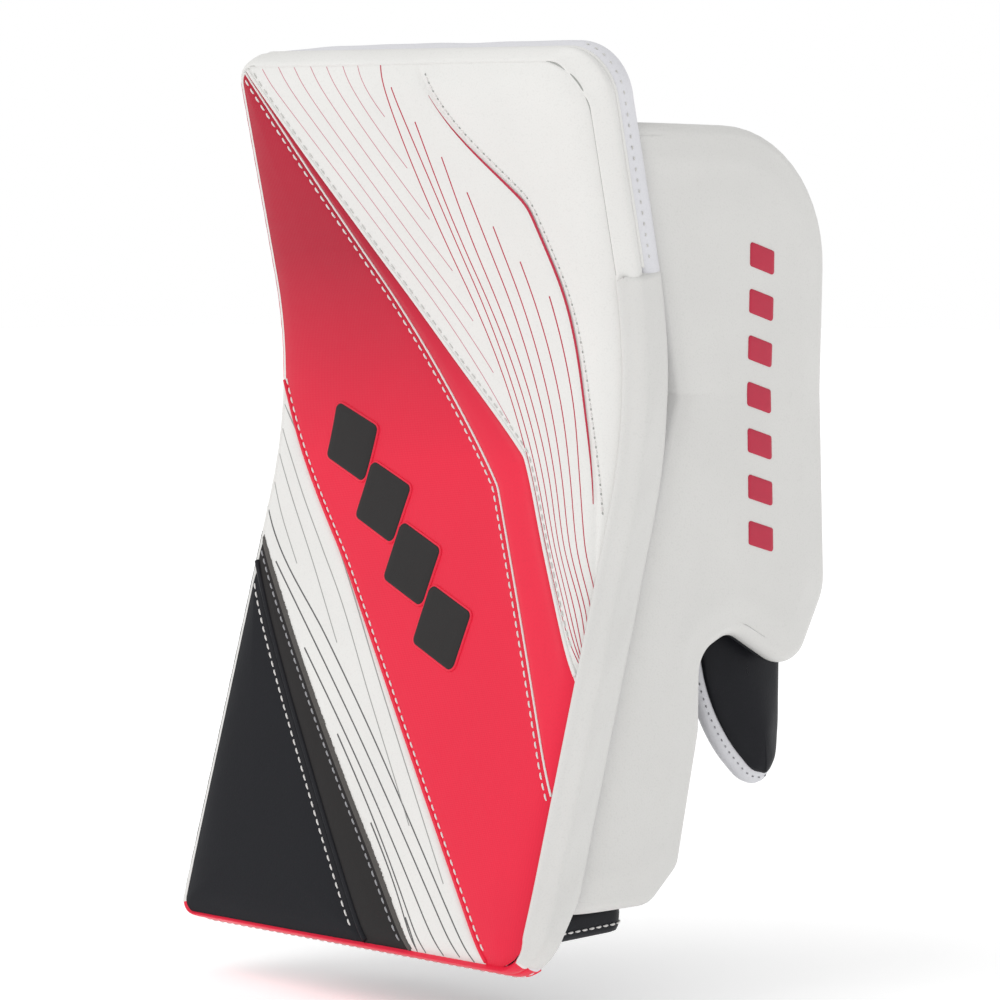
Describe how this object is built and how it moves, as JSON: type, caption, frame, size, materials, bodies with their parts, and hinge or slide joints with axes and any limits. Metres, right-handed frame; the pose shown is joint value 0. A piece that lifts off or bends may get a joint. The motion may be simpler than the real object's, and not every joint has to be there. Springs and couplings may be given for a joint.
{
  "type": "goalie blocker",
  "caption": "Padded goalie blocker for the right hand: bent board, side shield, hinged finger stalls, thumb guard and wrist strap.",
  "frame": {"origin": "centre of the cuff's mouth, where the hand goes in", "axes": "+Z along the board towards the wrist end, +X to the thumb side and the side shield, +Y from the face towards the palm"},
  "size_m": [0.2143, 0.1732, 0.3754],
  "materials": {
    "white_leather": "satin synthetic leather",
    "red_leather": "satin synthetic leather",
    "black_leather": "satin synthetic leather",
    "charcoal_leather": "matte synthetic leather",
    "palm_leather": "matte grained synthetic leather",
    "black_fabric": "woven nylon",
    "lining_fabric": "brushed jersey",
    "webbing": "woven webbing",
    "hook_and_loop": "hook and loop",
    "foam": "closed-cell foam",
    "plate_plastic": "polyethylene sheet"
  },
  "bodies": {
    "blocker": {"base_front_band": "red_leather", "base_rear_band": "red_leather", "core_foam": "foam", "cuff_binding": "webbing", "cuff_lining": "lining_fabric", "cuff_loop_patch": "hook_and_loop", "cuff_shell": "black_fabric", "edge_piping": "white_leather", "face_badge": "charcoal_leather", "face_panel_black": "black_leather", "face_panel_charcoal": "charcoal_leather", "face_panel_lined": "white_leather", "face_panel_red": "red_leather", "face_panel_striped": "white_leather", "face_panel_white": "white_leather", "face_trim_red": "red_leather", "hand_liner": "black_fabric", "hand_pad": "foam", "palm": "palm_leather", "palm_patch": "palm_leather", "rear_cover": "black_fabric", "shield_cover": "white_leather", "shield_dashes": "red_leather", "shield_foam": "foam", "shield_lining": "black_fabric", "shield_mount_strip": "white_leather", "shield_stiffener": "plate_plastic", "sidewall_front_band": "white_leather", "sidewall_rear_band": "white_leather", "soft_face_foam": "foam", "stiffener_plate": "plate_plastic", "strap_anchor": "webbing", "thumb_base": "black_fabric", "tip_guard_cover": "palm_leather", "tip_guard_foam": "foam", "wrist_gusset": "black_fabric"},
    "index_finger": {"index_stall": "palm_leather"},
    "index_fingertip": {"index_tip": "palm_leather"},
    "little_finger": {"little_stall": "palm_leather"},
    "little_fingertip": {"little_tip": "palm_leather"},
    "middle_finger": {"middle_stall": "palm_leather"},
    "middle_fingertip": {"middle_tip": "palm_leather"},
    "ring_finger": {"ring_stall": "palm_leather"},
    "ring_fingertip": {"ring_tip": "palm_leather"},
    "strap": {"strap_hook_patch": "hook_and_loop", "wrist_strap": "webbing"},
    "thumb": {"thumb_guard_cover": "white_leather", "thumb_guard_face": "black_leather", "thumb_guard_foam": "foam", "thumb_stall": "palm_leather"}
  },
  "joints": [
    {"name": "little_knuckle", "type": "hinge", "parent": "blocker", "child": "little_finger", "pos_m": [-0.0412, -0.0135, -0.21157], "axis": [1, 0, 0], "range_deg": [0, 80]},
    {"name": "little_middle_joint", "type": "hinge", "parent": "little_finger", "child": "little_fingertip", "pos_m": [-0.0412, -0.02472, -0.24872], "axis": [1, 0, 0], "range_deg": [0, 80]},
    {"name": "ring_knuckle", "type": "hinge", "parent": "blocker", "child": "ring_finger", "pos_m": [-0.0176, -0.0135, -0.21157], "axis": [1, 0, 0], "range_deg": [0, 80]},
    {"name": "ring_middle_joint", "type": "hinge", "parent": "ring_finger", "child": "ring_fingertip", "pos_m": [-0.0176, -0.02616, -0.2535], "axis": [1, 0, 0], "range_deg": [0, 80]},
    {"name": "middle_knuckle", "type": "hinge", "parent": "blocker", "child": "middle_finger", "pos_m": [0.006, -0.0135, -0.21157], "axis": [1, 0, 0], "range_deg": [0, 80]},
    {"name": "middle_middle_joint", "type": "hinge", "parent": "middle_finger", "child": "middle_fingertip", "pos_m": [0.006, -0.02674, -0.25542], "axis": [1, 0, 0], "range_deg": [0, 80]},
    {"name": "index_knuckle", "type": "hinge", "parent": "blocker", "child": "index_finger", "pos_m": [0.0296, -0.0135, -0.21157], "axis": [1, 0, 0], "range_deg": [0, 80]},
    {"name": "index_middle_joint", "type": "hinge", "parent": "index_finger", "child": "index_fingertip", "pos_m": [0.0296, -0.02588, -0.25255], "axis": [1, 0, 0], "range_deg": [0, 80]},
    {"name": "thumb_hinge", "type": "hinge", "parent": "blocker", "child": "thumb", "pos_m": [0.06044, 0.05209, -0.14184], "axis": [1, 0, 0], "range_deg": [0, 25]},
    {"name": "strap_opening", "type": "hinge", "parent": "blocker", "child": "strap", "pos_m": [-0.0534, 0.00751, -0.0383], "axis": [0, -0.23, 0.9732], "range_deg": [0, 110]}
  ],
  "couplings": [
    {"joint": "little_middle_joint", "follows": "little_knuckle", "ratio": 1},
    {"joint": "ring_middle_joint", "follows": "ring_knuckle", "ratio": 1},
    {"joint": "middle_middle_joint", "follows": "middle_knuckle", "ratio": 1},
    {"joint": "index_middle_joint", "follows": "index_knuckle", "ratio": 1}
  ]
}
